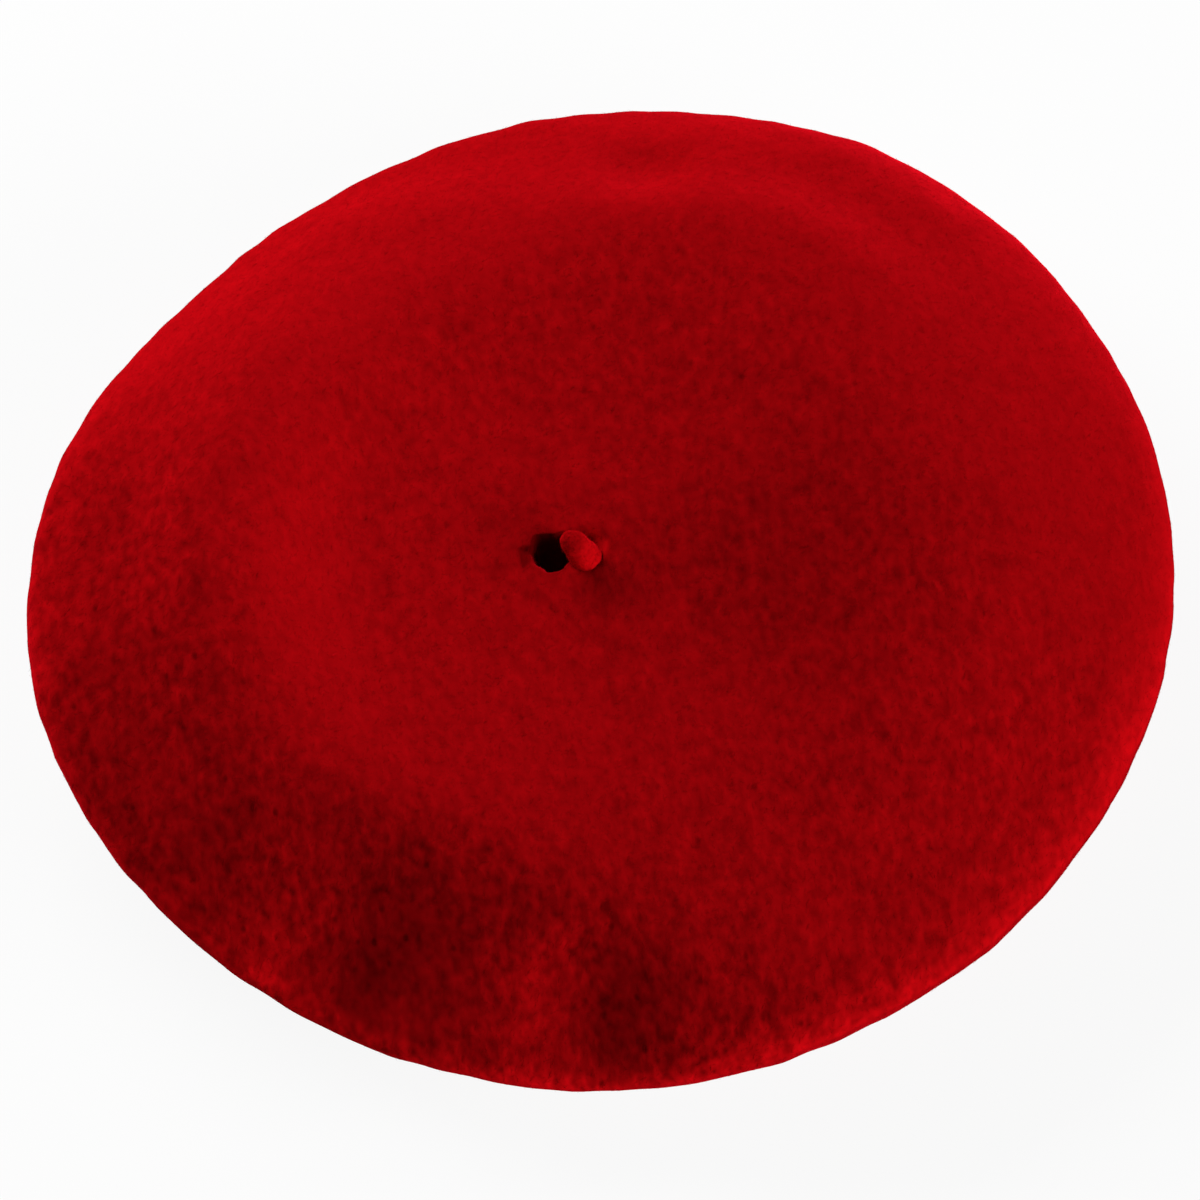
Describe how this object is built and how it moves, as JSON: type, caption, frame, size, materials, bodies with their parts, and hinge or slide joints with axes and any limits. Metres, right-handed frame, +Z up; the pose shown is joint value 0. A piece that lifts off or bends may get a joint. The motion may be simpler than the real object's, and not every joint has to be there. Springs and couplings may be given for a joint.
{
  "type": "beret",
  "caption": "Flat round wool-felt beret with a sunken crown, rolled edge and short stalk, lined in satin, with a leather sweatband round the head opening.",
  "frame": {"origin": "on the table under the middle of the beret, at the bottom of its bounding box", "axes": "+Z up out of the crown, +Y to the wearer's back, +X to the right as seen from the front of the picture"},
  "size_m": [0.2822, 0.2784, 0.0387],
  "materials": {
    "felt": "brushed fulled wool, matt with a soft nap",
    "stalk_felt": "fulled wool, matt",
    "anchor_thread": "knotted wool thread",
    "crown_satin": "satin weave",
    "side_satin": "satin weave",
    "band_leather": "smooth dark leather",
    "tab_leather": "smooth dark leather"
  },
  "bodies": {
    "hat": {"felt_body": "felt", "stalk_anchor": "anchor_thread", "lining_crown": "crown_satin", "lining_side": "side_satin", "sweatband": "band_leather", "sweatband_joint": "tab_leather"},
    "stub": {"stalk": "stalk_felt"}
  },
  "joints": [
    {"name": "stalk_flex", "type": "hinge", "parent": "hat", "child": "stub", "pos_m": [-0.0015, 0, 0.0315], "axis": [0, 1, 0], "range_deg": [-45, 45], "stiffness_Nm_per_rad": 0.0005}
  ]
}
